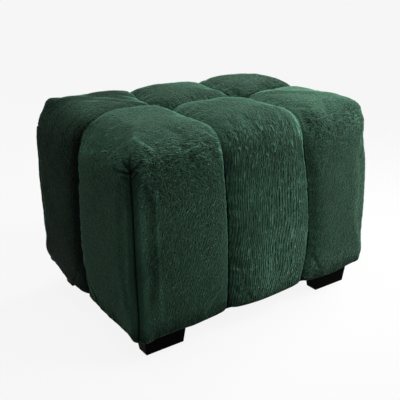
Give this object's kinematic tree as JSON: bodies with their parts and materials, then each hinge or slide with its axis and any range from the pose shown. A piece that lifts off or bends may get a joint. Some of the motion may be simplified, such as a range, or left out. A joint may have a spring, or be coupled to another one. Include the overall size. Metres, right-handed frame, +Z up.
{
  "type": "ottoman",
  "caption": "Oblong upholstered ottoman with puffed biscuit-tufted panels over a timber box frame, on short tapered block feet; for sitting on or resting feet.",
  "frame": {"origin": "on the floor, under the centre of the ottoman", "axes": "+X along the length, -Y towards the front face, +Z up"},
  "size_m": [0.6096, 0.4696, 0.448],
  "materials": {
    "green_chenille": "matte",
    "fibre": "matte",
    "foam": "matte",
    "webbing": "matte",
    "twine": "matte",
    "dust_cloth": "matte",
    "frame_timber": "matte",
    "hardboard": "satin",
    "black_foot": "satin",
    "steel": "satin"
  },
  "bodies": {
    "root": {"foot_front_left": "black_foot", "foot_front_right": "black_foot", "foot_back_left": "black_foot", "foot_back_right": "black_foot", "base_rail_front": "frame_timber", "base_rail_back": "frame_timber", "base_rail_left": "frame_timber", "base_rail_right": "frame_timber", "post_front_left": "frame_timber", "post_front_right": "frame_timber", "post_back_left": "frame_timber", "post_back_right": "frame_timber", "top_rail_front": "frame_timber", "top_rail_back": "frame_timber", "top_rail_left": "frame_timber", "top_rail_right": "frame_timber", "side_panel_front": "hardboard", "side_panel_back": "hardboard", "side_panel_left": "hardboard", "side_panel_right": "hardboard", "tuft_batten": "frame_timber", "long_strap_1": "webbing", "long_strap_2": "webbing", "long_strap_3": "webbing", "long_strap_4": "webbing", "cross_strap_1": "webbing", "cross_strap_2": "webbing", "cross_strap_3": "webbing", "cross_strap_4": "webbing", "cross_strap_5": "webbing", "cross_strap_6": "webbing", "cross_strap_7": "webbing", "seat_foam": "foam", "side_foam_front": "foam", "side_foam_back": "foam", "side_foam_left": "foam", "side_foam_right": "foam", "fibre_pad_front_left": "fibre", "fibre_pad_front_right": "fibre", "fibre_pad_back_left": "fibre", "fibre_pad_back_right": "fibre", "fibre_pad_front_middle": "fibre", "fibre_pad_back_middle": "fibre", "cover_front_left": "green_chenille", "cover_front_right": "green_chenille", "cover_back_left": "green_chenille", "cover_back_right": "green_chenille", "cover_front_middle": "green_chenille", "cover_back_middle": "green_chenille", "tuft_twine_left": "twine", "tuft_twine_right": "twine", "dust_cover": "dust_cloth", "frame_screws": "steel", "foot_screws": "steel", "panel_pins": "steel", "webbing_staples": "steel", "hem_staples": "steel", "dust_cover_staples": "steel"}
  },
  "joints": []
}
